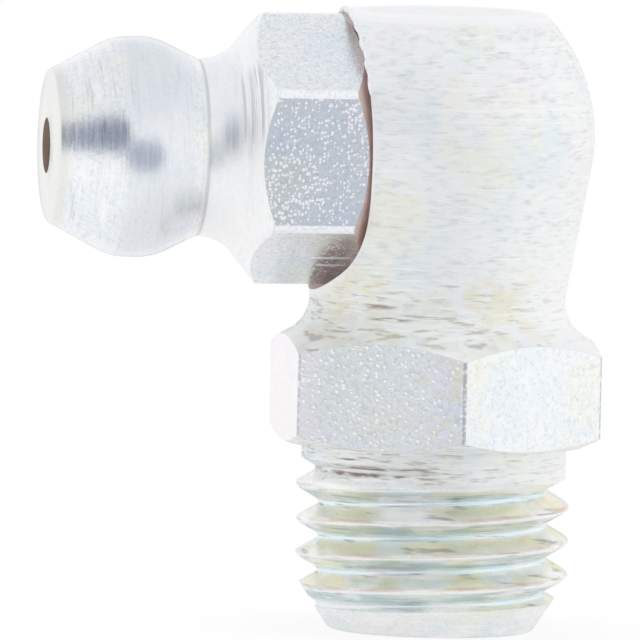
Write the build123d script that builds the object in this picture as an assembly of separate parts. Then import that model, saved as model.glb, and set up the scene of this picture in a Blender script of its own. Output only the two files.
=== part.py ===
from build123d import *

import os
from math import acos, atan2, cos, radians, sin, sqrt, tan

# Angled grease nipple. All sizes are in millimetres.
# The origin is on the thread axis, at the underside of the body hexagon, which seats on the machine.
# +Z is up the body, away from the machine, and the ball head points along -X.

# Threaded shank, drawn to the crests of its metric thread of eight millimetres by one
THREAD_DIAMETER = 8.0
THREAD_LENGTH = 5.5
COLLAR_DIAMETER = 7.68
COLLAR_LENGTH = 0.95
COLLAR_CHAMFER = 45.0
POINT_DIAMETER = 6.0
POINT_HALF_ANGLE = 33.0

# Body hexagon
BODY_FLATS = 9.0
BODY_CLOCKING = 30.0
BODY_HEX_HEIGHT = 3.2
BODY_CHAMFER_DIAMETER = 8.8
BODY_TOP_CHAMFER = 30.0
BODY_UNDER_CHAMFER = 25.0

# Rounded boss above the hexagon
BOSS_HEIGHT = 12.67
BOSS_DIAMETER = 9.02
BOSS_WIDEST_HEIGHT = 9.05
BOSS_TOP_DIAMETER = 5.97
BOSS_TAPER = 10.0
BOSS_FOOT_FILLET = 1.1
BOSS_TOP_CHAMFER = 0.22

# Milled seat for the insert, and the grease passages
INSERT_HEIGHT = 8.59
SEAT_OFFSET = 2.6
SEAT_CLEARANCE = 0.08
SEAT_FILLET = 0.6
CROSS_BORE_DIAMETER = 4.5
CROSS_BORE_DEPTH = 4.5
PASSAGE_DIAMETER = 2.5
DRILL_POINT = 118.0

# Outside of the insert, with lengths measured outwards from its seat
INSERT_FLATS = 7.0
INSERT_CLOCKING = -2.7
INSERT_HEX_LENGTH = 2.75
INSERT_CHAMFER_DIAMETER = 6.76
INSERT_CHAMFER = 38.0
FLARE_HALF_ANGLE = 51.0
FLARE_FILLET = 1.3
NECK_DIAMETER = 5.16
NECK_END = 4.65
NECK_TAPER = 8.0
HEAD_DIAMETER = 6.45
HEAD_LAND = 0.3
HEAD_CENTRE = 6.55
HEAD_ARC = 1.85
HEAD_FRONT_ANGLE = 28.0
HEAD_REACH = 9.14
TIP_RISE = 0.11

# Stem and bore of the insert
STEM_FIT_GAP = 0.01
STEM_LAND = 1.9
STEM_LEAD = 0.25
TAIL_DIAMETER = 3.5
TAIL_LENGTH = 1.6
TIP_HOLE_DIAMETER = 1.62
TIP_HOLE_LAND = 0.42
BALL_SEAT_HALF_ANGLE = 45.0
SPRING_BORE_DIAMETER = 2.7
CRIMP_THICKNESS = 0.3
CRIMP_HOLE_DIAMETER = 1.4

# Check ball and its spring
BALL_DIAMETER = 2.38
BALL_SEAT_GAP = 0.02
SPRING_WIRE = 0.3
SPRING_MEAN_DIAMETER = 1.9
SPRING_TURNS = 5
SPRING_WIRE_SIDES = 4
SPRING_END_GAP = 0.02

# How far the turned blanks stand out past the corners of their hexagons, before the flats are cut
BLANK_ALLOWANCE = 0.05

# Places that several pieces share
thread_radius = THREAD_DIAMETER / 2
insert_corner_radius = INSERT_FLATS / sqrt(3)
tail_end = -STEM_LAND - TAIL_LENGTH
ball_radius = BALL_DIAMETER / 2
hole_radius = TIP_HOLE_DIAMETER / 2
seat_mouth = HEAD_REACH - TIP_HOLE_LAND
seat_angle = radians(BALL_SEAT_HALF_ANGLE)
ball_height = seat_mouth - (ball_radius - hole_radius * cos(seat_angle)) / sin(seat_angle) - BALL_SEAT_GAP

# The insert is drawn upright on its seat and then laid along -X.
insert_place = Pos(-SEAT_OFFSET, 0, INSERT_HEIGHT) * Rot(0, -90, 0)
UPWARDS = (Align.CENTER, Align.CENTER, Align.MIN)
DOWNWARDS = (Align.CENTER, Align.CENTER, Align.MAX)


def slope(angle):
    return tan(radians(angle))


def turned(outline):
    """Solid of revolution about Z from an outline of radius and height."""
    return revolve(Plane.XZ * outline, Axis.Z)


def corner_of(outline, place):
    """The corner of an outline that is nearest to a place."""
    return outline.vertices().sort_by_distance((place[0], place[1], 0))[0]


def rounded(outline, corner, radius):
    """The outline with one corner rounded."""
    return fillet(corner_of(outline, corner), radius)


def hexagonal_bar(flats, clocking, low, high):
    section = RegularPolygon(flats / 2, 6, major_radius=False, rotation=clocking)
    return extrude(Pos(0, 0, low) * section, high - low)


def body_turning():
    """Shank, hexagon blank and boss as they leave the lathe."""
    shank, collar, point = THREAD_DIAMETER / 2, COLLAR_DIAMETER / 2, POINT_DIAMETER / 2
    corner = BODY_FLATS / sqrt(3) + BLANK_ALLOWANCE
    bevel = BODY_CHAMFER_DIAMETER / 2
    upper_slope = slope(BODY_TOP_CHAMFER)
    under = (corner - bevel) * slope(BODY_UNDER_CHAMFER)
    upper = BODY_HEX_HEIGHT - (corner - bevel) * upper_slope
    taper = radians(BOSS_TAPER)
    widest = (BOSS_DIAMETER / 2, BOSS_WIDEST_HEIGHT)
    top = (BOSS_TOP_DIAMETER / 2, BOSS_HEIGHT)
    # One arc runs from the top edge over the widest ring, where it is upright, to the tapered neck.
    inwards = widest[0] - top[0]
    arc = (inwards**2 + (top[1] - widest[1]) ** 2) / (2 * inwards)
    waist = (widest[0] - arc * (1 - cos(taper)), widest[1] - arc * sin(taper))
    # The tapered neck meets the line of the upper chamfer at the foot, which is then rounded.
    foot_radius = waist[0] + (BODY_HEX_HEIGHT - waist[1] + bevel * upper_slope) * tan(taper)
    foot_radius /= 1 + upper_slope * tan(taper)
    foot = (foot_radius, BODY_HEX_HEIGHT + (bevel - foot_radius) * upper_slope)
    sides = Polyline(
        (0, BOSS_HEIGHT),
        (0, -THREAD_LENGTH),
        (point, -THREAD_LENGTH),
        (shank, (shank - point) / slope(POINT_HALF_ANGLE) - THREAD_LENGTH),
        (shank, -COLLAR_LENGTH - (shank - collar) / slope(COLLAR_CHAMFER)),
        (collar, -COLLAR_LENGTH),
        (collar, 0),
        (bevel, 0),
        (corner, under),
        (corner, upper),
        foot,
        waist,
    )
    outline = make_face([*sides.edges(), ThreePointArc(waist, widest, top), Line(top, (0, BOSS_HEIGHT))])
    outline = rounded(outline, foot, BOSS_FOOT_FILLET)
    return turned(chamfer(corner_of(outline, top), BOSS_TOP_CHAMFER))


def elbow_body():
    """Body: shank, hexagon and boss in one piece, with a milled seat and two bores that meet."""
    blank = Cylinder(BODY_FLATS, BODY_HEX_HEIGHT, align=UPWARDS)
    outside_flats = blank - hexagonal_bar(BODY_FLATS, BODY_CLOCKING, 0, BODY_HEX_HEIGHT)
    seat_cutter = Cylinder(insert_corner_radius + SEAT_CLEARANCE, BODY_FLATS, align=UPWARDS)
    seat_cutter = fillet(seat_cutter.edges().sort_by(Axis.Z)[0], SEAT_FILLET)
    bore_radius = CROSS_BORE_DIAMETER / 2
    bore = Cylinder(bore_radius, CROSS_BORE_DEPTH, align=DOWNWARDS)
    drill_tip = Cone(0, bore_radius, bore_radius / slope(DRILL_POINT / 2), align=DOWNWARDS)
    bore += Pos(0, 0, -CROSS_BORE_DEPTH) * drill_tip
    passage = Cylinder(PASSAGE_DIAMETER / 2, THREAD_LENGTH + INSERT_HEIGHT, align=UPWARDS)
    milled = body_turning() - outside_flats - insert_place * seat_cutter
    return milled - insert_place * bore - Pos(0, 0, -THREAD_LENGTH) * passage


def head_outline():
    """Outside of the insert from the seat to the tip, as edges of radius and height."""
    corner = insert_corner_radius + BLANK_ALLOWANCE
    bevel = INSERT_CHAMFER_DIAMETER / 2
    hex_end = INSERT_HEX_LENGTH - (corner - insert_corner_radius) / slope(FLARE_HALF_ANGLE)
    neck = (NECK_DIAMETER / 2, NECK_END)
    # Where the flare's cone meets the tapered neck
    flare_slope = slope(FLARE_HALF_ANGLE)
    foot_height = (corner + flare_slope * hex_end - neck[0] - slope(NECK_TAPER) * neck[1]) / (
        flare_slope - slope(NECK_TAPER)
    )
    foot = (corner - flare_slope * (foot_height - hex_end), foot_height)
    # The back of the head is a line from the neck that runs smoothly into an arc.
    arc_radius = HEAD_DIAMETER / 2 - HEAD_ARC
    back_centre = (arc_radius, HEAD_CENTRE - HEAD_LAND / 2)
    front_centre = (arc_radius, HEAD_CENTRE + HEAD_LAND / 2)
    across, along = neck[0] - back_centre[0], neck[1] - back_centre[1]
    back_angle = atan2(along, across) + acos(HEAD_ARC / sqrt(across**2 + along**2))
    front_angle = radians(HEAD_FRONT_ANGLE)

    def on_arc(centre, angle):
        return (centre[0] + HEAD_ARC * cos(angle), centre[1] + HEAD_ARC * sin(angle))

    back, front = on_arc(back_centre, back_angle), on_arc(front_centre, front_angle)
    crest_back, crest_front = on_arc(back_centre, 0), on_arc(front_centre, 0)
    rim = HEAD_REACH - TIP_RISE
    tip = (front[0] - (rim - front[1]) * tan(front_angle), rim)
    bevel_end = (corner, (corner - bevel) * slope(INSERT_CHAMFER))
    seat_to_neck = Polyline((bevel, 0), bevel_end, (corner, hex_end), foot, neck)
    return [
        *seat_to_neck.edges(),
        Line(neck, back),
        ThreePointArc(back, on_arc(back_centre, back_angle / 2), crest_back),
        Line(crest_back, crest_front),
        ThreePointArc(crest_front, on_arc(front_centre, front_angle / 2), front),
        Line(front, tip),
        Line(tip, (0, HEAD_REACH)),
    ], foot


def nipple_head():
    """Insert: pressed stem, hexagon, flare, neck and ball head, bored through for the valve."""
    edges, foot = head_outline()
    stem = CROSS_BORE_DIAMETER / 2 - STEM_FIT_GAP
    inside = Polyline(
        (0, HEAD_REACH),
        (0, tail_end),
        (TAIL_DIAMETER / 2, tail_end),
        (TAIL_DIAMETER / 2, -STEM_LAND),
        (stem - STEM_LEAD, -STEM_LAND),
        (stem, -STEM_LAND + STEM_LEAD),
        (stem, 0),
        (INSERT_CHAMFER_DIAMETER / 2, 0),
    )
    outline = rounded(make_face([*inside.edges(), *edges]), foot, FLARE_FILLET)
    blank = turned(outline) & hexagonal_bar(INSERT_FLATS, INSERT_CLOCKING, tail_end, HEAD_REACH)
    spring_bore = SPRING_BORE_DIAMETER / 2
    seat_foot = seat_mouth - (spring_bore - hole_radius) / tan(seat_angle)
    crimp = CRIMP_HOLE_DIAMETER / 2
    passage = Polyline(
        (0, HEAD_REACH),
        (hole_radius, HEAD_REACH),
        (hole_radius, seat_mouth),
        (spring_bore, seat_foot),
        (spring_bore, tail_end + CRIMP_THICKNESS),
        (crimp, tail_end + CRIMP_THICKNESS),
        (crimp, tail_end),
        (0, tail_end),
        close=True,
    )
    return insert_place * (blank - turned(make_face(passage)))


def check_ball():
    """Steel ball that closes the tip hole from inside."""
    return insert_place * Pos(0, 0, ball_height) * Sphere(ball_radius)


def ball_spring():
    """Compression spring behind the ball, on the crimped end. Its round wire is drawn with flat sides."""
    wire, mean = SPRING_WIRE / 2, SPRING_MEAN_DIAMETER / 2
    bottom = tail_end + CRIMP_THICKNESS + wire + SPRING_END_GAP
    top = ball_height - sqrt((ball_radius + wire) ** 2 - mean**2) - SPRING_END_GAP
    path = Helix((top - bottom) / SPRING_TURNS, top - bottom, mean)
    section = Plane(path @ 0, z_dir=path % 0) * RegularPolygon(wire, SPRING_WIRE_SIDES)
    return insert_place * Pos(0, 0, bottom) * sweep(section, path, is_frenet=True)


pieces = {
    "elbow_body": elbow_body(),
    "nipple_head": nipple_head(),
    "check_ball": check_ball(),
    "ball_spring": ball_spring(),
}

os.makedirs("parts", exist_ok=True)
for name, piece in pieces.items():
    export_step(piece, f"parts/{name}.step")
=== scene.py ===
from math import acos, atan2, cos, degrees, pi, radians, sin, sqrt, tan

import bmesh
import bpy
from mathutils import Matrix, Vector


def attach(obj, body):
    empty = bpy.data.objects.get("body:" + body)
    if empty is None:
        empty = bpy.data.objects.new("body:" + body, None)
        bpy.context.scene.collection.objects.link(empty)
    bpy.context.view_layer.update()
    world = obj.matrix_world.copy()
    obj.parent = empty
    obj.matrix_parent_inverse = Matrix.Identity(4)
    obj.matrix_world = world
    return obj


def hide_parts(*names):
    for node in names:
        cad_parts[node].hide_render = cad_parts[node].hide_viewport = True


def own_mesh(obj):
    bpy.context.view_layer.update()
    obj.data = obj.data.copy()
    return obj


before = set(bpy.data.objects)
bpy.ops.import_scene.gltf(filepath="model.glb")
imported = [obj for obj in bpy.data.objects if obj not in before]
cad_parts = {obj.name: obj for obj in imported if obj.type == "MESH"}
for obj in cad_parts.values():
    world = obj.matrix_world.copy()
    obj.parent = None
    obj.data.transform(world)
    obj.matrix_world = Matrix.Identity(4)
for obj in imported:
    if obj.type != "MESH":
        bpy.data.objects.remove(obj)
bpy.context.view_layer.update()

MM = 0.001

# Sizes of the body, in millimetres and degrees. Z is the thread's axis, and 0 is the hexagon's underside.
# A pair is a radius and a height.

SHANK_RADIUS = 4.0
SHANK_TOP = -1.1
SHANK_END = -5.5
POINT_RADIUS = 3.0
POINT_TOP = -3.96
COLLAR_RADIUS = 3.88
COLLAR_LENGTH = 0.95

THREAD_PITCH = 1.0
THREAD_DEPTH = 0.61
THREAD_START = -1.28
THREAD_TURNS = 6
RUN_OUT_TURNS = 0.8

BODY_FLATS = 9.0
HEX_HEIGHT = 3.2
HEX_CORNER_RADIUS = 5.25
HEX_BEVEL_RADIUS = 4.4
HEX_UPPER_BEVEL = 30.0
HEX_LOWER_BEVEL_HEIGHT = 0.396

BOSS_WIDEST = (4.51, 9.05)
BOSS_TOP = (2.985, 12.67)
BOSS_TAPER = 10.0
BOSS_SLIMMING = BOSS_WIDEST[0] - BOSS_TOP[0]
BOSS_ARC = (BOSS_SLIMMING**2 + (BOSS_TOP[1] - BOSS_WIDEST[1]) ** 2) / (2 * BOSS_SLIMMING)

INSERT_HEIGHT = 8.59
SEAT_OFFSET = 2.6
SEAT_RADIUS = 4.121
SEAT_FILLET = 0.6
SEAT_FLOOR_RADIUS = 3.52
CROSS_BORE_RADIUS = 2.25
CROSS_BORE_DEPTH = 4.5
CROSS_BORE_END = 5.85
PASSAGE_RADIUS = 1.25

# Sizes of the insert, where a pair is a radius and a distance from the seat along the insert's axis

INSERT_FLATS = 7.0
INSERT_CLOCKING = -2.7
INSERT_CORNER_RADIUS = 4.09
INSERT_BEVEL_RADIUS = 3.38
INSERT_BEVEL = 38.0
INSERT_HEX_LENGTH = 2.75
FLARE_ANGLE = 51.0
NECK_END = (2.58, 4.65)
NECK_TAPER = 8.0
HEAD_RADIUS = 3.225
HEAD_ARC = 1.85
HEAD_LAND_START = 6.4
HEAD_LAND_END = 6.7
HEAD_FRONT_ANGLE = 28.0
HEAD_END = 9.03
TIP_END = 9.1
TIP_HOLE_RADIUS = 0.81
TIP_HOLE_END = 8.72
SPRING_BORE_RADIUS = 1.35
SPRING_BORE_END = 8.18
STEM_RADIUS = 2.24
STEM_LEAD_RADIUS = 1.99
STEM_LEAD_START = -1.65
STEM_END = -1.9
TAIL_RADIUS = 1.75
TAIL_END = -3.5
CRIMP_RADIUS = 0.7
CRIMP_START = -3.2

BALL_RADIUS = 1.19
BALL_PLACE = 7.702
WIRE_RADIUS = 0.15
SPRING_RADIUS = 0.95
SPRING_TURNS = 5
SPRING_START = -3.03
SPRING_END = 6.87

insert_place = Matrix.Translation((-SEAT_OFFSET, 0, INSERT_HEIGHT)) @ Matrix.Rotation(radians(-90), 4, "Y")


# Shaping. Every piece is drawn in millimetres and becomes metres when it is finished.


def along_arc(centre, radius, start, end, steps):
    """Points of an arc from one angle to another, both in degrees."""
    turns = [radians(start + (end - start) * i / steps) for i in range(steps + 1)]
    return [(centre[0] + radius * cos(a), centre[1] + radius * sin(a)) for a in turns]


def line_of(points):
    """A run of edges in the plane of radius and height."""
    bm = bmesh.new()
    verts = [bm.verts.new((r, 0, z)) for r, z in points]
    for a, b in zip(verts, verts[1:]):
        bm.edges.new((a, b))
    return bm


def soften(bm, place, reach, steps=4):
    """Rounds the corner of a line that is nearest to a place, over a reach along both edges."""
    bm.verts.ensure_lookup_table()
    corner = min(bm.verts, key=lambda v: (v.co.x - place[0]) ** 2 + (v.co.z - place[1]) ** 2)
    bmesh.ops.bevel(
        bm, geom=[corner], offset=reach, offset_type="OFFSET", affect="VERTICES",
        segments=steps, profile=0.5, material=-1,
    )


def turned(bm, steps=256):
    """Turns a line about Z into a closed surface."""
    bmesh.ops.spin(
        bm, geom=bm.verts[:] + bm.edges[:], cent=(0, 0, 0), axis=(0, 0, 1), dvec=(0, 0, 0),
        angle=2 * pi, steps=steps, use_merge=True, use_duplicate=False,
    )
    bmesh.ops.remove_doubles(bm, verts=bm.verts, dist=1e-5)
    bmesh.ops.recalc_face_normals(bm, faces=bm.faces)
    return bm


def bar(radius, low, high, sides=96, turn=0.0):
    """A round or many-sided bar about Z."""
    bm = bmesh.new()
    bmesh.ops.create_cone(
        bm, cap_ends=True, cap_tris=False, segments=sides, radius1=radius, radius2=radius, depth=high - low,
        matrix=Matrix.Translation((0, 0, (low + high) / 2)) @ Matrix.Rotation(radians(turn), 4, "Z"),
    )
    return bm


def placed(bm, matrix):
    bmesh.ops.transform(bm, matrix=matrix, verts=bm.verts)
    return bm


def machined(bm, cutter):
    """Cuts a shape out of another, and keeps only the result."""
    objects = []
    for name, shape in (("blank", bm), ("cutter", cutter)):
        mesh = bpy.data.meshes.new(name)
        shape.to_mesh(mesh)
        shape.free()
        objects.append(bpy.data.objects.new(name, mesh))
        bpy.context.scene.collection.objects.link(objects[-1])
    blank, cutter = objects
    step = blank.modifiers.new("cut", "BOOLEAN")
    step.object, step.operation, step.solver = cutter, "DIFFERENCE", "EXACT"
    bpy.context.view_layer.update()
    evaluated = blank.evaluated_get(bpy.context.evaluated_depsgraph_get())
    result = bmesh.new()
    result.from_mesh(evaluated.to_mesh())
    for o in objects:
        mesh = o.data
        bpy.data.objects.remove(o)
        bpy.data.meshes.remove(mesh)
    bmesh.ops.remove_doubles(result, verts=result.verts, dist=1e-5)
    bmesh.ops.dissolve_degenerate(result, edges=result.edges, dist=1e-5)
    return result


def flats_cutter(flats, corner_round, low, high, turn):
    """What is left of a round bar outside a hexagon, so that cutting it away leaves six flats."""
    hexagon = bar(flats / sqrt(3), low - 1, high + 1, sides=6, turn=turn)
    upright = [e for e in hexagon.edges if abs(e.verts[0].co.z - e.verts[1].co.z) > 1e-3]
    bmesh.ops.bevel(
        hexagon, geom=upright, offset=corner_round, offset_type="OFFSET", affect="EDGES",
        segments=5, profile=0.5, material=-1,
    )
    return machined(bar(flats, low, high), hexagon)


# Body


def body_line():
    """Half of the turned blank's outline, from the thread's point up to the boss's flat top."""
    bevel, slope, taper = HEX_BEVEL_RADIUS, tan(radians(HEX_UPPER_BEVEL)), radians(BOSS_TAPER)
    centre = (BOSS_WIDEST[0] - BOSS_ARC, BOSS_WIDEST[1])
    top_angle = degrees(atan2(BOSS_TOP[1] - centre[1], BOSS_TOP[0] - centre[0]))
    waist = (centre[0] + BOSS_ARC * cos(taper), centre[1] - BOSS_ARC * sin(taper))
    foot_radius = (waist[0] + (HEX_HEIGHT - waist[1] + bevel * slope) * tan(taper)) / (1 + slope * tan(taper))
    foot = (foot_radius, HEX_HEIGHT + (bevel - foot_radius) * slope)
    point, shoulder = (POINT_RADIUS, SHANK_END), (SHANK_RADIUS, POINT_TOP)
    shank_top = (SHANK_RADIUS, SHANK_TOP)
    bm = line_of(
        [(0, SHANK_END), point, shoulder, shank_top]
        + [(COLLAR_RADIUS, -COLLAR_LENGTH), (COLLAR_RADIUS, 0), (bevel, 0)]
        + [(HEX_CORNER_RADIUS, HEX_LOWER_BEVEL_HEIGHT)]
        + [(HEX_CORNER_RADIUS, HEX_HEIGHT - (HEX_CORNER_RADIUS - bevel) * slope), foot]
        + along_arc(centre, BOSS_ARC, -BOSS_TAPER, top_angle, 44)
        + [(0, BOSS_TOP[1])]
    )
    soften(bm, foot, 0.77, 10)
    soften(bm, BOSS_TOP, 0.22, 5)
    soften(bm, point, 0.12)
    soften(bm, shoulder, 0.1)
    soften(bm, shank_top, 0.05)
    return bm


def groove_cutter():
    """The thread's groove, wound upwards. It rises out of the metal below the hexagon."""
    steps = 128
    turns = THREAD_TURNS + RUN_OUT_TURNS
    # Half of the groove's outline: the height over its root, and the distance from its middle
    half = [
        (-0.03, 0.0), (-0.02, 0.05), (0.03, 0.095), (0.5, 0.375),
        (0.56, 0.42), (0.595, 0.462), (THREAD_DEPTH, 0.485), (0.72, 0.485),
    ]
    outline = [(d, -w) for d, w in half[:0:-1]] + [(d, w) for d, w in half]
    root, low = SHANK_RADIUS - THREAD_DEPTH, THREAD_TURNS * THREAD_PITCH
    bm = bmesh.new()
    face = bm.faces.new([bm.verts.new((root + d, 0, THREAD_START + w - low)) for d, w in outline])
    bmesh.ops.spin(
        bm, geom=[face], cent=(0, 0, 0), axis=(0, 0, 1), dvec=(0, 0, THREAD_PITCH / steps),
        angle=2 * pi * turns, steps=round(steps * turns), use_merge=False, use_duplicate=False,
    )
    for v in bm.verts:
        turn = atan2(v.co.y, v.co.x) / (2 * pi)
        turn += round((v.co.z - THREAD_START) / THREAD_PITCH - turn)
        if turn > 0:
            v.co.xy *= 1 + (THREAD_DEPTH + 0.04) * (turn / RUN_OUT_TURNS) ** 3.5 / v.co.xy.length
    bmesh.ops.recalc_face_normals(bm, faces=bm.faces)
    return bm


def elbow_shape():
    """Turned blank with its six flats, the milled seat, both bores and the thread."""
    bm = turned(body_line())
    bm = machined(bm, flats_cutter(BODY_FLATS, corner_round=0.07, low=-0.6, high=3.9, turn=0))
    seat = line_of([(0, 0), (SEAT_RADIUS, 0), (SEAT_RADIUS, 9), (0, 9)])
    soften(seat, (SEAT_RADIUS, 0), SEAT_FILLET, 8)
    bm = machined(bm, placed(turned(seat), insert_place))
    bore = line_of(
        [(0, -CROSS_BORE_END), (CROSS_BORE_RADIUS, -CROSS_BORE_DEPTH), (CROSS_BORE_RADIUS, 1), (0, 1)]
    )
    bm = machined(bm, placed(turned(bore, 96), insert_place))
    bm = machined(bm, bar(PASSAGE_RADIUS, -7, INSERT_HEIGHT))
    return machined(bm, groove_cutter())


def seat_depth(off):
    """Where the seat's surface is along X, at a distance from the insert's axis."""
    curl = max(off - SEAT_FLOOR_RADIUS, 0)
    return -(SEAT_OFFSET + SEAT_FILLET) + sqrt(max(SEAT_FILLET**2 - curl**2, 0))


def burr_line(first, last, steps):
    """Points of the edge where the seat breaks through the boss, by the angle round the insert's axis."""
    points = []
    for i in range(steps + 1):
        turn = radians(first + (last - first) * i / steps)
        low, high = 2.0, SEAT_RADIUS
        for _ in range(40):
            off = (low + high) / 2
            rise = INSERT_HEIGHT + off * cos(turn) - BOSS_WIDEST[1]
            boss = sqrt(BOSS_ARC**2 - min(rise, 5.0) ** 2) - (BOSS_ARC - BOSS_WIDEST[0])
            covered = seat_depth(off) ** 2 + (off * sin(turn)) ** 2 < boss**2
            inside = covered and rise < BOSS_TOP[1] - BOSS_WIDEST[1]
            low, high = (off, high) if inside else (low, off)
        points.append((seat_depth(off), -off * sin(turn), INSERT_HEIGHT + off * cos(turn)))
    return points


def burr_shape():
    """Ragged bead of metal that the cutter pushed up at the top of the seat."""
    line = bpy.data.curves.new("burr", "CURVE")
    line.dimensions, line.bevel_depth, line.bevel_resolution, line.use_fill_caps = "3D", 1.0, 3, True
    places = burr_line(-14, 62, 26)
    spline = line.splines.new("NURBS")
    spline.points.add(len(places) - 1)
    for i, (point, (x, y, z)) in enumerate(zip(spline.points, places)):
        share = i / (len(places) - 1)
        swell = 0.5 + 0.5 * sin(2.3 * i) * cos(1.1 * i + 0.6)
        point.radius = (0.05 + 0.08 * swell) * (1 - 0.65 * share)
        sway = 0.05 * sin(1.7 * i + 0.4)
        point.co = (x + 0.1 * (1 - share) + sway * 0.6, y, z + 0.04 * (1 - share) + sway * 0.5, 1)
    spline.order_u, spline.use_endpoint_u = 3, True
    holder = bpy.data.objects.new("burr", line)
    bpy.context.scene.collection.objects.link(holder)
    mesh = bpy.data.meshes.new_from_object(holder.evaluated_get(bpy.context.evaluated_depsgraph_get()))
    bpy.data.objects.remove(holder)
    bm = bmesh.new()
    bm.from_mesh(mesh)
    bmesh.ops.remove_doubles(bm, verts=bm.verts, dist=1e-5)
    bmesh.ops.recalc_face_normals(bm, faces=bm.faces)
    return bm


# Insert


def insert_shape():
    """Turned blank with its bore, then the six flats."""
    corner, bevel = INSERT_CORNER_RADIUS, INSERT_BEVEL_RADIUS
    flare, taper = tan(radians(FLARE_ANGLE)), tan(radians(NECK_TAPER))
    hex_end = INSERT_HEX_LENGTH - (corner - INSERT_FLATS / sqrt(3)) / flare
    foot_end = (corner + flare * hex_end - NECK_END[0] - taper * NECK_END[1]) / (flare - taper)
    foot = (corner - flare * (foot_end - hex_end), foot_end)
    back, front = (HEAD_RADIUS - HEAD_ARC, HEAD_LAND_START), (HEAD_RADIUS - HEAD_ARC, HEAD_LAND_END)
    across, along = NECK_END[0] - back[0], NECK_END[1] - back[1]
    back_angle = degrees(atan2(along, across) + acos(HEAD_ARC / sqrt(across**2 + along**2)))
    lean = radians(HEAD_FRONT_ANGLE)
    over = (front[0] + HEAD_ARC * cos(lean), front[1] + HEAD_ARC * sin(lean))
    tip = (over[0] - (HEAD_END - over[1]) * tan(lean), HEAD_END)
    crimp, lip = (CRIMP_RADIUS, CRIMP_START), (TIP_HOLE_RADIUS, TIP_END)
    bm = line_of(
        [crimp, (CRIMP_RADIUS, TAIL_END), (TAIL_RADIUS, TAIL_END), (TAIL_RADIUS, STEM_END)]
        + [(STEM_LEAD_RADIUS, STEM_END), (STEM_RADIUS, STEM_LEAD_START), (STEM_RADIUS, 0), (bevel, 0)]
        + [(corner, (corner - bevel) * tan(radians(INSERT_BEVEL))), (corner, hex_end), foot, NECK_END]
        + along_arc(back, HEAD_ARC, back_angle, 0, 18)
        + along_arc(front, HEAD_ARC, 0, HEAD_FRONT_ANGLE, 14)
        + [tip, lip, (TIP_HOLE_RADIUS, TIP_HOLE_END)]
        + [(SPRING_BORE_RADIUS, SPRING_BORE_END), (SPRING_BORE_RADIUS, CRIMP_START), crimp]
    )
    bmesh.ops.remove_doubles(bm, verts=bm.verts, dist=1e-5)
    soften(bm, foot, 0.5, 10)
    soften(bm, tip, 0.07)
    soften(bm, lip, 0.04, 3)
    soften(bm, NECK_END, 0.06)
    flats = flats_cutter(INSERT_FLATS, corner_round=0.16, low=-0.6, high=4.6, turn=INSERT_CLOCKING + 30)
    return placed(machined(turned(bm), flats), insert_place)


def ball_shape():
    bm = bmesh.new()
    middle = Matrix.Translation((0, 0, BALL_PLACE))
    bmesh.ops.create_uvsphere(bm, u_segments=64, v_segments=32, radius=BALL_RADIUS, matrix=middle)
    return placed(bm, insert_place)


def spring_shape():
    """Round wire, wound in even turns."""
    steps, rise = 40, (SPRING_END - SPRING_START) / SPRING_TURNS
    bm = bmesh.new()
    ring = bmesh.ops.create_circle(bm, cap_ends=True, radius=WIRE_RADIUS, segments=16)["verts"]
    lean = atan2(rise, 2 * pi * SPRING_RADIUS)
    start = Matrix.Translation((SPRING_RADIUS, 0, SPRING_START))
    matrix = start @ Matrix.Rotation(lean, 4, "X") @ Matrix.Rotation(radians(90), 4, "X")
    bmesh.ops.transform(bm, matrix=matrix, verts=ring)
    bmesh.ops.spin(
        bm, geom=bm.faces[:], cent=(0, 0, 0), axis=(0, 0, 1), dvec=(0, 0, rise / steps),
        angle=2 * pi * SPRING_TURNS, steps=SPRING_TURNS * steps, use_merge=False, use_duplicate=False,
    )
    bmesh.ops.recalc_face_normals(bm, faces=bm.faces)
    return placed(bm, insert_place)


def finished(bm, name, node, materials, smooth=28, flat=None):
    """The shape as a piece of the scene, in metres, in place of its solid if it has one.

    Edges sharper than smooth, in degrees, stay sharp. Faces of the flat material aren't smoothed at all.
    """
    bmesh.ops.scale(bm, vec=(MM, MM, MM), verts=bm.verts)
    mesh = bpy.data.meshes.new(name)
    bm.to_mesh(mesh)
    bm.free()
    mesh.shade_smooth()
    mesh.set_sharp_from_angle(angle=radians(smooth))
    for face in mesh.polygons:
        face.use_smooth = face.material_index != flat
    for material in materials:
        mesh.materials.append(material)
    piece = bpy.data.objects.new(name, mesh)
    bpy.context.scene.collection.objects.link(piece)
    if node:
        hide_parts(node)
    return piece


# Shader maths


class Socket:
    """An output of a node. Maths on it adds Math nodes."""

    def __init__(self, tree, output):
        self.tree, self.output = tree, output

    def __add__(self, other):
        return self.tree.maths("ADD", self, other)

    def __sub__(self, other):
        return self.tree.maths("SUBTRACT", self, other)

    def __rsub__(self, other):
        return self.tree.maths("SUBTRACT", other, self)

    def __mul__(self, other):
        return self.tree.maths("MULTIPLY", self, other)

    def __truediv__(self, other):
        return self.tree.maths("DIVIDE", self, other)

    __radd__, __rmul__ = __add__, __mul__


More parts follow.
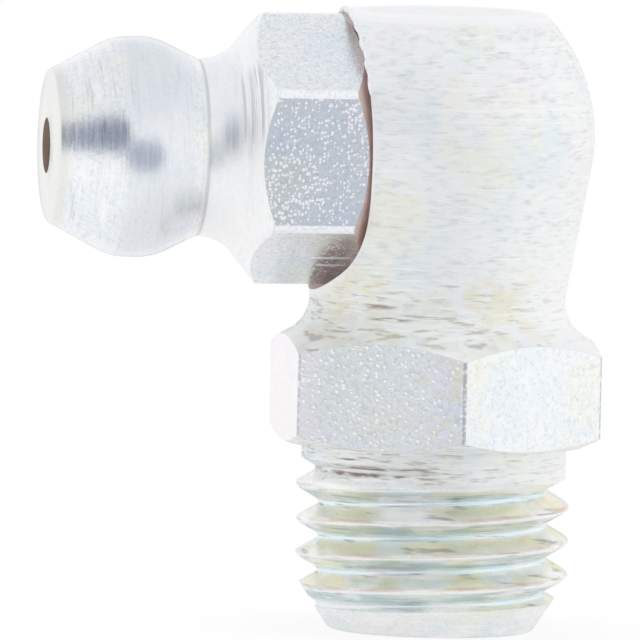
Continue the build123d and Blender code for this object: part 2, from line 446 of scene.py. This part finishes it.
class Tree:
    """The nodes of one material, of the floor or of the world."""

    def __init__(self, owner):
        owner.use_nodes = True
        self.nodes, self.links = owner.node_tree.nodes, owner.node_tree.links
        self.nodes.clear()

    def node(self, kind, settings=(), inputs=(), output=0):
        made = self.nodes.new(kind)
        for name, value in dict(settings).items():
            setattr(made, name, value)
        for name, value in dict(inputs).items():
            if isinstance(value, Socket):
                self.links.new(value.output, made.inputs[name])
            else:
                made.inputs[name].default_value = value
        return Socket(self, made.outputs[output]) if made.outputs else None

    def maths(self, operation, *values):
        return self.node("ShaderNodeMath", {"operation": operation}, dict(enumerate(values)))

    def mix(self, share, first, second):
        """Two colours in one, with the share of the second."""
        first, second = ((*c, 1) if isinstance(c, tuple) else c for c in (first, second))
        return self.node("ShaderNodeMix", {"data_type": "RGBA"}, {0: share, 6: first, 7: second}, output=2)

    def rise(self, value, low, high):
        """0 below low, 1 above high, and a soft step between them."""
        settings = {"interpolation_type": "SMOOTHSTEP"}
        return self.node("ShaderNodeMapRange", settings, {"Value": value, "From Min": low, "From Max": high})

    def window(self, value, low, high, edge):
        """1 between low and high, and 0 outside them, with a soft step at each."""
        return self.rise(value, low - edge, low + edge) * (1 - self.rise(value, high - edge, high + edge))

    def vector(self, x, y, z):
        return self.node("ShaderNodeCombineXYZ", {}, {"X": x, "Y": y, "Z": z})

    def parts(self, vector):
        return [self.node("ShaderNodeSeparateXYZ", {}, {"Vector": vector}, output=i) for i in range(3)]

    def length(self, vector):
        return self.node("ShaderNodeVectorMath", {"operation": "LENGTH"}, {0: vector}, output=1)

    def noise(self, vector, scale=1.0, detail=2.0, rough=0.5):
        inputs = {"Vector": vector, "Scale": scale, "Detail": detail, "Roughness": rough}
        return self.node("ShaderNodeTexNoise", {}, inputs)

    def specks(self, vector, scale):
        """Distance to the nearest of many scattered points, and each point's own chance value."""
        made = self.node("ShaderNodeTexVoronoi", {}, {"Vector": vector, "Scale": scale})
        chance = Socket(self, made.output.node.outputs["Color"])
        return made, self.parts(chance)[0]

    def relief(self, height, strength, depth):
        """Bump of a depth in millimetres."""
        inputs = {"Height": height, "Strength": strength, "Distance": depth * MM}
        return self.node("ShaderNodeBump", {}, inputs)

    def surface(self, **sockets):
        names = {name.replace("_", " ").title(): value for name, value in sockets.items()}
        shader = self.node("ShaderNodeBsdfPrincipled", {}, names)
        self.node("ShaderNodeOutputMaterial", {}, {"Surface": shader})


# Finishes. All are machined steel with bright zinc plating, faintly iridescent. Several also carry painted
# highlights and painted shade.

WHITE = (1.0, 1.0, 1.0)
BODY_ZINC = (0.95, 0.965, 0.955)
INSERT_ZINC = (0.93, 0.945, 0.965)

# Pink, blue and straw tints of the plating, each with the size of its patches and a seed
PLATING_TINTS = (
    ((1.02, 0.97, 0.99), 0.8, 0),
    ((0.9, 0.96, 1.0), 0.5, 11),
    ((1.0, 0.99, 0.88), 0.65, 23),
)

# Marks that go part of the way round: the height in millimetres, and the angles of both ends in radians
RUST_STREAKS = (
    (-0.3, -2.5, -2.05),
    (-0.33, -1.58, -1.5),
    (-0.55, -2.7, -1.8),
    (-0.76, -2.7, -1.75),
    (3.85, -2.25, -1.92),
    (4.2, -2.3, -2.1),
)
BRIGHT_LINES = ((10.05, -1.75, -0.35), (11.75, -1.3, -0.4), (12.08, -1.62, -1.4))

# Scratches on the insert's flats: where each starts and ends along X, and its height over the axis
INSERT_SCRATCHES = ((-4.0, -2.86, -3.09), (-3.8, -2.95, -3.33))

# How far a tool mark moves with the radius, so that faces square to the axis have rings too
MARK_LEAN = 0.37

ON_INSERT = {"axis": "X", "centre": (0, 0, INSERT_HEIGHT)}


def toned(base, tint):
    """A colour with each of its parts scaled."""
    return tuple(c * k for c, k in zip(base, tint))


class Finish(Tree):
    """A material that knows its place on the piece, in millimetres from the piece's own turning axis."""

    def __init__(self, name, axis="Z", centre=(0, 0, 0)):
        self.material = bpy.data.materials.new(name)
        super().__init__(self.material)
        coordinates = self.node("ShaderNodeTexCoord", output=3)
        inputs = {"Vector": coordinates, "Location": tuple(-c for c in centre), "Scale": (1 / MM,) * 3}
        self.place = self.node("ShaderNodeMapping", {}, inputs)
        x, y, z = self.parts(self.place)
        self.along, across, other = (z, x, y) if axis == "Z" else (x, y, z)
        self.angle = self.maths("ARCTAN2", other, across)
        self.radius = self.length(self.vector(across, other, 0))

    def marks(self, length, width, seed, detail=2.0, reach=4.4):
        """Noise drawn out around the axis, as a turning tool leaves it. Its length is true at the reach."""
        around = (self.maths(wave, self.angle) * (reach / length) for wave in ("COSINE", "SINE"))
        upwards = (self.along + self.radius * MARK_LEAN) / width + seed
        return self.noise(self.vector(*around, upwards), 1.0, detail)

    def mottle(self, size):
        """Two even noises, for the dark and the pale of a grain."""
        return self.noise(self.place, size, 4.0, 0.7), self.noise(self.place, size * 0.7 + 1.0, 4.0, 0.7)

    def plating(self, base, seed, share=0.7):
        """Zinc that turns a little pink, blue and straw in patches."""
        colour = base
        for tint, size, shift in PLATING_TINTS:
            place = self.vector(self.along * 0.5, self.angle * 2.4, seed + shift)
            patch = self.rise(self.noise(place, size, 3.0, 0.6), 0.48, 0.62)
            colour = self.mix(patch * share, colour, toned(base, tint))
        return colour

    def grained(self, colour, base, depth, grain, pale):
        """A fine mottle over a colour, from a dark and a pale noise."""
        colour = self.mix(self.rise(grain, 0.46, 0.72) * depth, colour, toned(base, (0.76, 0.78, 0.79)))
        return self.mix(self.rise(pale, 0.5, 0.68) * depth, colour, WHITE)

    def stretch(self, height, first, last, half, edge, end):
        """1 on a line round the axis from one angle to another, half its width to each side of a height."""
        level = self.window(self.along, height - half, height + half, edge)
        return level * self.window(self.angle, first, last, end)


def flat_finish(name, base, spacing, thick, mottle, tinged=False, scratches=(), **where):
    """Flats of the drawn bar: an even grey, with bright specks painted as glints, and small pits in clusters.
    """
    f = Finish(name, **where)
    far, chance = f.specks(f.place, 1 / spacing)
    crowded = f.rise(f.noise(f.place, 0.5, 2.0), 0.36, 0.62) * 0.35
    likely = chance + crowded
    far = far / (likely * 0.8 + 0.4)
    half = thick / spacing
    dot, bright = 1 - f.rise(far, half * 0.7, half * 1.3), f.rise(likely, 0.5, 0.56)
    # Painted glints: bright specks, white and less metallic, that sparkle under any light. The scratches join
    # them below.
    glint_and_scratch, pit = dot * bright, dot * (1 - f.rise(likely, 0.3, 0.34))
    grain, pale = f.mottle(7.0)
    colour = f.grained(f.plating(base, 3.0), base, mottle, grain, pale)
    x, y, z = f.parts(f.place)
    if tinged:
        colour = f.mix(f.rise(x, -3.6, -4.4) * 0.8, colour, (1.0, 0.955, 0.98))
        straw = f.window(x, -1.2, 0.5, 0.25) * f.rise(f.noise(f.place, 1.6, 4.0), 0.42, 0.6)
        colour = f.mix(straw * 0.6, colour, (0.96, 0.9, 0.74))
    ring = f.window(far, half * 1.3, half * 1.8, 0.05) * bright
    colour = f.mix(f.maths("MAXIMUM", pit * 0.6, ring * 0.15), colour, toned(base, (0.6,) * 3))
    for first, last, height in scratches:
        scratch = f.window(x, first, last, 0.06) * f.window(z, height - 0.035, height + 0.035, 0.02)
        glint_and_scratch = f.maths("MAXIMUM", glint_and_scratch, scratch)
    colour = f.mix(glint_and_scratch * 0.85, colour, WHITE)
    bump = f.relief(grain + glint_and_scratch * 0.8, 0.5, 0.014)
    rough = f.rise(grain, 0.2, 0.8) * 0.12 + 0.26
    f.surface(base_color=colour, metallic=1 - glint_and_scratch * 0.75, roughness=rough, normal=bump)
    return f.material


def clouded(f, colour):
    """Grey clouds over the boss, and a straw stain round its foot."""
    clouds = f.noise(f.vector(f.along * 0.35, f.angle * 3.2, 8.0), 1.0, 3.0)
    colour = f.mix(f.rise(clouds, 0.45, 0.7) * 0.2, colour, toned(BODY_ZINC, (0.88, 0.93, 0.94)))
    wave = f.maths("COSINE", f.angle * 5 + 5.85) * 0.07
    stain = f.window(f.along, 2.9, 5.2, 0.5) * f.rise(f.noise(f.place, 1.3, 5.0, 0.65) + wave, 0.47, 0.63)
    return f.mix(stain * 0.7, colour, (0.9, 0.87, 0.7))


def ringed(f, colour, light, dark):
    """Fine rings all the way round the boss, with rust streaks and bright lines part of the way."""
    rings = f.marks(14.0, 0.045, 130.0, 1.0)
    colour = f.mix(f.rise(rings, 0.68, 0.76) * 0.8, colour, WHITE)
    colour = f.mix(f.rise(1 - rings, 0.7, 0.78) * 0.4, colour, (0.7, 0.7, 0.66))
    for height, first, last in RUST_STREAKS:
        rust = f.stretch(height, first, last, 0.05, 0.04, 0.1)
        colour = f.mix(rust * f.rise(dark, 0.4, 0.62) * 0.9, colour, (0.36, 0.29, 0.24))
    for height, first, last in BRIGHT_LINES:
        ring = f.stretch(height, first, last, 0.025, 0.02, 0.08)
        colour = f.mix(ring * f.rise(light, 0.3, 0.5) * 0.9, colour, WHITE)
    return colour


def seat_edge_highlight(f):
    """1 along the edge where the seat breaks through the boss, where a painted highlight is drawn in white.
    """
    x, y, z = f.parts(f.place)
    off = f.length(f.vector(y, z - INSERT_HEIGHT, 0))
    curl = f.maths("MAXIMUM", off - SEAT_FLOOR_RADIUS, 0)
    hollow = f.maths("SQRT", f.maths("MAXIMUM", SEAT_FILLET**2 - curl * curl, 0))
    lip = x + (SEAT_OFFSET + SEAT_FILLET) - hollow
    return (1 - f.rise(lip, 0.04, 0.1)) * (1 - f.rise(x, -2.3, -2.2)) * (1 - f.rise(off, 4.2, 4.4))


def boss_finish():
    """Turned boss: short tool marks lie around it, thickest and brownest at its foot."""
    f = Finish("boss zinc")
    light, dark = f.marks(1.1, 0.075, 0.0), f.marks(0.8, 0.075, 40.0)
    foot = 1 - f.rise(f.along, 3.8, 6.4)
    worked = f.rise(f.noise(f.vector(f.along * 0.5, f.angle * 1.4, 4.0), 1.0, 2.0), 0.42, 0.62)
    bright_dash = f.rise(light + worked * 0.05 + foot * 0.03, 0.6, 0.7)
    dark_dash = f.rise(dark + worked * 0.04 + foot * 0.06, 0.63, 0.75)
    grain, pale = f.marks(0.42, 0.13, 200.0, 4.0), f.marks(0.55, 0.15, 240.0, 4.0)
    colour = f.grained(f.plating(BODY_ZINC, 7.0, 0.75), BODY_ZINC, 0.55, grain, pale)
    colour = clouded(f, colour)
    colour = f.mix(dark_dash * (foot * 0.35 + 0.25), colour, (0.5, 0.46, 0.4))
    colour = f.mix(bright_dash * 0.85, colour, (1.0, 1.0, 0.99))
    colour = ringed(f, colour, light, dark)
    # Painted highlight: the boss's flat top and outer rim are lightened towards white and made less metallic,
    # for light falling on the top.
    top_highlight = f.rise(f.along, 12.35, 12.55) * (0.4 + f.rise(f.radius, 2.0, 2.6) * 0.6)
    colour = f.mix(top_highlight * 0.85, colour, (1.0, 0.985, 0.995))
    # Painted light: the lower boss is lightened towards white on its right (+X) side, where light falls.
    lit_right_side = f.rise(f.parts(f.place)[0], 0.8, 3.4) * (1 - f.rise(f.along, 5.0, 7.0))
    colour = f.mix(lit_right_side * 0.55, colour, (1.0, 1.0, 0.99))
    # Painted highlight along the seat's edge.
    colour = f.mix(seat_edge_highlight(f) * 0.85, colour, WHITE)
    lines = f.marks(9.0, 0.035, 60.0, 1.0)
    bump = f.relief(lines * 0.4 + light * 0.5 - dark_dash * 0.4 + grain * 0.5, 0.5, 0.012)
    rough = f.rise(lines, 0.3, 0.7) * 0.1 + 0.56
    f.surface(base_color=colour, metallic=0.6 - top_highlight * 0.5, roughness=rough, normal=bump)
    return f.material


def head_finish():
    """Turned and hardened head, with fine lines around it."""
    f = Finish("head zinc", **ON_INSERT)
    lines, broad = f.marks(5.0, 0.05, 0.0, 2.0, 3.2), f.marks(1.6, 0.13, 30.0, 3.0, 3.2)
    grain, pale = f.mottle(7.0)
    colour = f.grained(f.plating(INSERT_ZINC, 5.0), INSERT_ZINC, 0.8, grain, pale)
    colour = f.mix(f.rise(lines, 0.45, 0.75) * 0.5, colour, toned(INSERT_ZINC, (0.84,) * 3))
    colour = f.mix(f.rise(broad, 0.54, 0.7) * 0.75, colour, WHITE)
    colour = f.mix(f.rise(1 - broad, 0.56, 0.72) * 0.55, colour, (0.6, 0.63, 0.7))
    tip = f.rise(f.along, -11.3, -11.42)
    colour = f.mix(tip * 0.8, colour, (0.83, 0.825, 0.79))
    # Painted shade: the head's widest band is darkened and blued, for the dark reflection it shows.
    widest_shade = f.window(f.along, -9.7, -7.7, 0.3)
    colour = f.mix(widest_shade * 0.6, colour, (0.78, 0.81, 0.86))
    # Painted light: the neck is lightened towards white, for the brightness light gives it. The same band is
    # also made rougher.
    lit_neck = f.window(f.along, -7.3, -5.6, 0.2)
    colour = f.mix(lit_neck * 0.6, colour, WHITE)
    # Painted shade: a darker line in the crease where the neck meets the head.
    crease_shade = f.window(f.along, -7.31, -7.21, 0.03)
    colour = f.mix(crease_shade * 0.6, colour, (0.55, 0.57, 0.55))
    scored = f.stretch(-6.0, 2.3, 2.98, 0.3, 0.1, 0.12) * f.rise(lines, 0.42, 0.56)
    colour = f.mix(scored * 0.6, colour, (0.46, 0.48, 0.54))
    bump = f.relief(lines * 0.5 + broad * 0.4 + grain * 0.5, 0.5, 0.016)
    rough = f.rise(broad, 0.3, 0.7) * 0.1 + lit_neck * 0.14 + 0.2
    f.surface(base_color=colour, metallic=1.0, roughness=rough, normal=bump)
    return f.material


def thread_finish():
    """Thread: the plating is straw above each crest and rusty on it. The downward flanks are darker
    blue-green as painted shade, and a white line at each crest and a pale cyan line in each root are painted
    highlights.
    """
    f = Finish("thread zinc")
    # How far up one pitch a point lies, from the groove's middle. Whole turns keep the sum above 0.
    turns_up = f.along + (20 - THREAD_START) - f.angle / (2 * pi)
    phase = f.maths("FRACT", turns_up)
    patches, scratch = f.marks(1.8, 0.35, 10.0, 3.0), f.marks(1.6, 0.06, 70.0, 3.0)
    threaded = (1 - f.rise(f.along, -1.35, -1.05)) * f.rise(f.along, -4.75, -4.5)
    grain, pale = f.mottle(7.0)
    colour = f.grained(f.plating(BODY_ZINC, 9.0), BODY_ZINC, 0.5, grain, pale)
    above, below = f.window(phase, 0.56, 0.9, 0.05), f.window(phase, 0.12, 0.42, 0.05)
    colour = f.mix(threaded * above * f.rise(patches, 0.36, 0.58) * 0.8, colour, (0.92, 0.87, 0.6))
    # Painted shade: the downward flanks are darkened blue-green.
    colour = f.mix(threaded * below * (0.5 + f.rise(patches, 0.4, 0.6) * 0.45), colour, (0.58, 0.69, 0.69))
    rusty, crest = f.window(phase, 0.5, 0.6, 0.03), f.window(phase, 0.42, 0.47, 0.02)
    colour = f.mix(threaded * rusty * f.rise(patches, 0.32, 0.66) * 0.9, colour, (0.74, 0.58, 0.52))
    # Painted highlights: a white line at each crest and a pale cyan line in each root, broken where the
    # patches lie.
    unbroken_highlight = f.rise(1 - patches, 0.3, 0.5)
    colour = f.mix(threaded * crest * unbroken_highlight * 0.9, colour, WHITE)
    root = 1 - f.window(phase, 0.06, 0.94, 0.02)
    colour = f.mix(threaded * root * unbroken_highlight * 0.85, colour, (0.82, 0.98, 1.0))
    # White patches where the plating is worn; no shade is painted here.
    wear_and_shade = f.rise(f.marks(2.2, 0.5, 150.0, 4.0), 0.52, 0.62)
    colour = f.mix(wear_and_shade * 0.8, colour, WHITE)
    shady = f.rise(f.noise(f.vector(f.angle * 2.0, f.along * 0.3, 12.0), 1.0, 2.0), 0.5, 0.66)
    grimy = f.rise(scratch + shady * 0.08, 0.61, 0.73)
    colour = f.mix(threaded * grimy * 0.65, colour, (0.34, 0.35, 0.33))
    colour = f.mix(f.rise(1 - scratch, 0.62, 0.72) * 0.7, colour, WHITE)
    bump = f.relief(scratch + grain * 0.4, 0.5, 0.014)
    rough = f.rise(scratch, 0.3, 0.7) * 0.15 + 0.25
    f.surface(base_color=colour, metallic=0.8, roughness=rough, normal=bump)
    return f.material


def dull_finish(name, dark, light):
    """Faces hidden in the joint and the grease ways, rusty or greasy brown, and darker than the zinc as
    painted shade of the crevice and the hole.
    """
    f = Finish(name)
    colour = f.mix(f.noise(f.place, 2.5, 3.0), dark, light)
    bump = f.relief(f.noise(f.place, 12.0), 0.4, 0.01)
    f.surface(base_color=colour, metallic=0.3, roughness=0.5, normal=bump)
    return f.material


def edge_finish(name, base, marked, share, size, metallic):
    """An edge in a tone of its own, dotted with another tone. Dark, it is painted shade along an edge; pale,
    a painted highlight.
    """
    f = Finish(name)
    dots = f.rise(f.noise(f.place, size, 2.0), 0.5, 0.62)
    bump = f.relief(dots, 0.5, 0.01)
    f.surface(base_color=f.mix(dots * share, base, marked), metallic=metallic, roughness=0.4, normal=bump)
    return f.material


def ball_finish():
    f = Finish("polished ball", **ON_INSERT)
    # Painted shade: the ball's steel is darkened brown, for the shade inside the tip hole, with a greasy
    # tone.
    smear = f.noise(f.place, 2.5, 3.0)
    colour = f.mix(smear, (0.42, 0.38, 0.35), (0.6, 0.56, 0.52))
    f.surface(base_color=colour, metallic=1.0, roughness=smear * 0.12 + 0.05)
    return f.material


def wire_finish():
    f = Finish("spring wire", **ON_INSERT)
    drawn = f.noise(f.place, 6.0, 3.0)
    colour = f.mix(drawn, (0.5, 0.5, 0.52), (0.66, 0.66, 0.68))
    f.surface(base_color=colour, metallic=1.0, roughness=0.32, normal=f.relief(drawn, 0.4, 0.006))
    return f.material


# The pieces


def sort_faces(bm, finishes, rules):
    """Gives each face the first finish whose rule it meets, or else the first finish of the list."""
    for face in bm.faces:
        centre, normal = face.calc_center_median(), face.normal
        met = [name for name, rule in rules.items() if rule(centre, normal)]
        face.material_index = finishes.index(met[0]) if met else 0
    return bm


def break_edges(bm, finishes, first, second, offset, finish):
    """Rounds the edges between faces of two finishes, and gives the rounding a finish of its own."""
    pair = {finishes.index(first), finishes.index(second)}
    inner = [e for e in bm.edges if len(e.link_faces) == 2]
    edges = [e for e in inner if {f.material_index for f in e.link_faces} == pair]
    bmesh.ops.bevel(
        bm, geom=edges, offset=offset, offset_type="OFFSET", affect="EDGES", segments=2, profile=0.5,
        clamp_overlap=True, material=finishes.index(finish),
    )


def off_thread_axis(c):
    return sqrt(c.x**2 + c.y**2)


def off_insert_axis(c):
    return sqrt(c.y**2 + (c.z - INSERT_HEIGHT) ** 2)


def from_insert_axis(c, n):
    """How far a face lies from the insert's axis along its own normal, less than 0 if it faces the axis."""
    return c.y * n.y + (c.z - INSERT_HEIGHT) * n.z


def on_body_flat(c, n):
    upright = -0.1 < c.z < HEX_HEIGHT + 0.1 and abs(n.z) < 0.01
    return upright and abs(c.x * n.x + c.y * n.y - BODY_FLATS / 2) < 0.02


def on_insert_flat(c, n):
    level = c.x < -SEAT_OFFSET + 0.1 and abs(n.x) < 0.01
    return level and abs(from_insert_axis(c, n) - INSERT_FLATS / 2) < 0.02


def in_body_bore(c, n):
    crosswise = c.x < 1.6 and off_insert_axis(c) < CROSS_BORE_RADIUS + 0.05
    return crosswise or off_thread_axis(c) < PASSAGE_RADIUS + 0.05


def in_insert_bore(c, n):
    behind_tip = off_insert_axis(c) < SPRING_BORE_RADIUS + 0.01 and c.x > -11.2
    return behind_tip or off_insert_axis(c) < TIP_HOLE_RADIUS + 0.005


def in_seat(c, n):
    within = c.x < -SEAT_OFFSET + 0.01 and off_insert_axis(c) < SEAT_RADIUS + 0.01
    return within and n.x < 0.02 and from_insert_axis(c, n) < 0.02


def on_body_corner(c, n):
    return 0.05 < c.z < HEX_HEIGHT and abs(n.z) < 0.01 and off_thread_axis(c) > BODY_FLATS / 2 + 0.05


def on_insert_corner(c, n):
    return -5.5 < c.x < -SEAT_OFFSET - 0.1 and abs(n.x) < 0.01 and off_insert_axis(c) > INSERT_FLATS / 2


# Painted shade: a dark line along the rounded edges between the hexagons' flats and their bevels, dotted
# paler.
edge_shade = edge_finish("shaded edge", (0.36, 0.36, 0.38), (0.78, 0.78, 0.78), 0.6, 7.0, 0.5)
# Painted shade: the rounded upright corners of the body's hexagon are darker, dotted paler.
wear_and_shade = edge_finish("worn edge", (0.62, 0.63, 0.64), (0.95, 0.96, 0.97), 0.8, 7.0, 0.8)
# Painted highlight: near-white and not metallic, on the insert hexagon's rounded corners and on the burr,
# dotted darker.
highlit = edge_finish("rubbed edge", (0.97, 0.98, 1.0), (0.7, 0.72, 0.76), 0.4, 9.0, 0.0)
# Painted shade with a rust tint: the seat's faces in the joint are brown and darker than the zinc, for the
# dark crevice round the insert.
seat = dull_finish("rusty seat in painted shade", (0.62, 0.48, 0.44), (0.88, 0.76, 0.72))
# Painted shade with a grease tint: the bores are dark brown, for the dark inside of the tip hole.
bore = dull_finish("greasy bore in painted shade", (0.26, 0.19, 0.14), (0.42, 0.33, 0.26))

finishes = {
    "boss": boss_finish(),
    "flats": flat_finish("body flats", (0.95, 0.98, 1.0), 0.155, 0.04, 0.8, tinged=True),
    "thread": thread_finish(),
    "seat": seat, "bore": bore, "edge_shade": edge_shade, "wear_and_shade": wear_and_shade,
}
names = list(finishes)
rules = {
    "bore": in_body_bore,
    "seat": in_seat,
    "flats": on_body_flat,
    "wear_and_shade": on_body_corner,
    "thread": lambda c, n: c.z < -COLLAR_LENGTH + 0.01,
}
blank = sort_faces(elbow_shape(), names, rules)
break_edges(blank, names, "boss", "flats", 0.05, "edge_shade")
body = finished(blank, "body", "elbow_body", finishes.values(), flat=names.index("flats"))

finishes = {
    "head": head_finish(),
    "flats": flat_finish(
        "insert flats", (0.9, 0.92, 0.945), 0.1, 0.032, 0.95, scratches=INSERT_SCRATCHES, **ON_INSERT
    ),
    "seat": seat, "bore": bore, "corner": highlit, "edge_shade": edge_shade,
}
names = list(finishes)
rules = {
    "bore": in_insert_bore,
    "seat": lambda c, n: c.x > -3.8 and n.x > 0.3,
    "flats": on_insert_flat,
    "corner": on_insert_corner,
}
blank = sort_faces(insert_shape(), names, rules)
break_edges(blank, names, "head", "flats", 0.045, "edge_shade")
insert = finished(blank, "insert", "nipple_head", finishes.values(), flat=names.index("flats"))

# The burr takes the painted highlight finish.
burr = finished(burr_shape(), "burr", None, [highlit], smooth=60)
ball = finished(ball_shape(), "ball", "check_ball", [ball_finish()])
spring = finished(spring_shape(), "spring", "ball_spring", [wire_finish()])
for piece, moves_with, slot in (
    (body, "housing", "elbow_body"),
    (burr, "housing", "elbow_body"),
    (insert, "housing", "nipple_head"),
    (ball, "valve", "check_ball"),
    (spring, "housing", "ball_spring"),
):
    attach(piece, moves_with)
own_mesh(spring)


# Floor, light and camera


def light_paths(tree):
    """1 for a camera ray, 1 for a glossy one, and 1 for either of them or one through glass."""
    rays = tree.node("ShaderNodeLightPath")
    names = ("Is Camera Ray", "Is Glossy Ray", "Is Transmission Ray")
    camera, glossy, through = (Socket(tree, rays.output.node.outputs[name]) for name in names)
    return camera, glossy, tree.maths("MAXIMUM", tree.maths("MAXIMUM", camera, glossy), through)


def paper_floor(radius=20.0):
    """A round sheet of white paper. Only close to the object does it take shade."""
    bm = bmesh.new()
    matrix = Matrix.Translation((0, 0, SHANK_END * MM))
    bmesh.ops.create_circle(bm, cap_ends=True, radius=radius * MM, segments=96, matrix=matrix)
    mesh = bpy.data.meshes.new("floor")
    bm.to_mesh(mesh)
    bm.free()
    floor = bpy.data.objects.new("floor", mesh)
    bpy.context.scene.collection.objects.link(floor)
    paper = Finish("white paper")
    camera, _, seen = light_paths(paper)
    matt = paper.node("ShaderNodeBsdfDiffuse", {}, {"Color": (0.93, 0.93, 0.93, 1)})
    bright = paper.node("ShaderNodeEmission", {}, {"Color": (1, 1, 1, 1)})
    near = 1 - paper.rise(paper.radius, 3.5, 9.0)
    under = 1 - paper.rise(paper.radius, 11.0, radius)
    shade = camera * near * 0.14 + (1 - camera) * under * 0.45
    shader = paper.node("ShaderNodeMixShader", {}, {0: seen * (1 - shade), 1: matt, 2: bright})
    paper.node("ShaderNodeOutputMaterial", {}, {"Surface": shader})
    mesh.materials.append(paper.material)


def toward(azimuth, elevation):
    a, e = radians(azimuth), radians(elevation)
    return (cos(a) * cos(e), sin(a) * cos(e), sin(e))


def patch(tree, way, azimuth, elevation, stretch, inner, outer):
    """1 around one direction of the world, falling to 0 between two distances from it."""
    middle = toward(azimuth, elevation)
    off = tree.node("ShaderNodeVectorMath", {"operation": "SUBTRACT"}, {0: way, 1: middle})
    off = tree.node("ShaderNodeVectorMath", {"operation": "MULTIPLY"}, {0: off, 1: stretch})
    return 1 - tree.rise(tree.length(off), inner, outer)


def studio():
    """A white tent, greyer overhead and darker and bluer round the camera's opening."""
    world = bpy.data.worlds.new("studio")
    bpy.context.scene.world = world
    tree = Tree(world)
    way = tree.node("ShaderNodeTexCoord")
    height = tree.parts(way)[2]
    camera, glossy, seen = light_paths(tree)
    colour = tree.mix(seen, (0.98, 0.985, 1.0), WHITE)
    for dimmed, tone in (
        (tree.rise(height, 0.25, 0.8), (0.84, 0.86, 0.885)),
        (patch(tree, way, 78, -4, (1.0, 1.0, 1.0), 0.1, 0.34), (0.5, 0.53, 0.56)),
        (patch(tree, way, 273, -6, (0.9, 0.9, 1.5), 0.3, 0.52), (0.45, 0.5, 0.58)),
        (patch(tree, way, 229, 14, (0.8, 0.8, 1.15), 0.25, 0.47), (0.26, 0.29, 0.38)),
    ):
        colour = tree.mix(dimmed * (glossy * 0.6 + 0.4) * (1 - camera), colour, tone)
    shader = tree.node("ShaderNodeBackground", {}, {"Color": colour, "Strength": 1.0})
    tree.node("ShaderNodeOutputWorld", {}, {"Surface": shader})


paper_floor()
studio()

# The middle of the picture lies a few pixels left of the target and above it.
TARGET = Vector((-3.0, 0, 3.05)) * MM
AZIMUTH, ELEVATION, ROLL = radians(-9.3635), radians(4.3509), radians(1.3323)
DISTANCE = 519.73 * MM
PICTURE_WIDTH = 640
PIXELS_PER_MM = 34.1205
PIXELS_LEFT, PIXELS_ABOVE = 15.348, 17.493
SENSOR_WIDTH = 36.0

back = Vector((sin(AZIMUTH) * cos(ELEVATION), -cos(AZIMUTH) * cos(ELEVATION), sin(ELEVATION)))
level = Vector((0, 0, 1)).cross(back).normalized()
upright = back.cross(level)
right = cos(ROLL) * level + sin(ROLL) * upright
up = cos(ROLL) * upright - sin(ROLL) * level
aim = TARGET - right * (PIXELS_LEFT / PIXELS_PER_MM * MM) + up * (PIXELS_ABOVE / PIXELS_PER_MM * MM)
lens = bpy.data.cameras.new("camera")
lens.sensor_width = SENSOR_WIDTH
lens.lens = SENSOR_WIDTH * PIXELS_PER_MM * DISTANCE / MM / PICTURE_WIDTH
lens.clip_start, lens.clip_end = 0.01, 20
camera = bpy.data.objects.new("camera", lens)
turn = Matrix((right, up, back)).transposed().to_4x4()
camera.matrix_world = Matrix.Translation(aim + back * DISTANCE) @ turn
bpy.context.scene.collection.objects.link(camera)
bpy.context.scene.camera = camera
bpy.context.scene.view_settings.view_transform = "Standard"
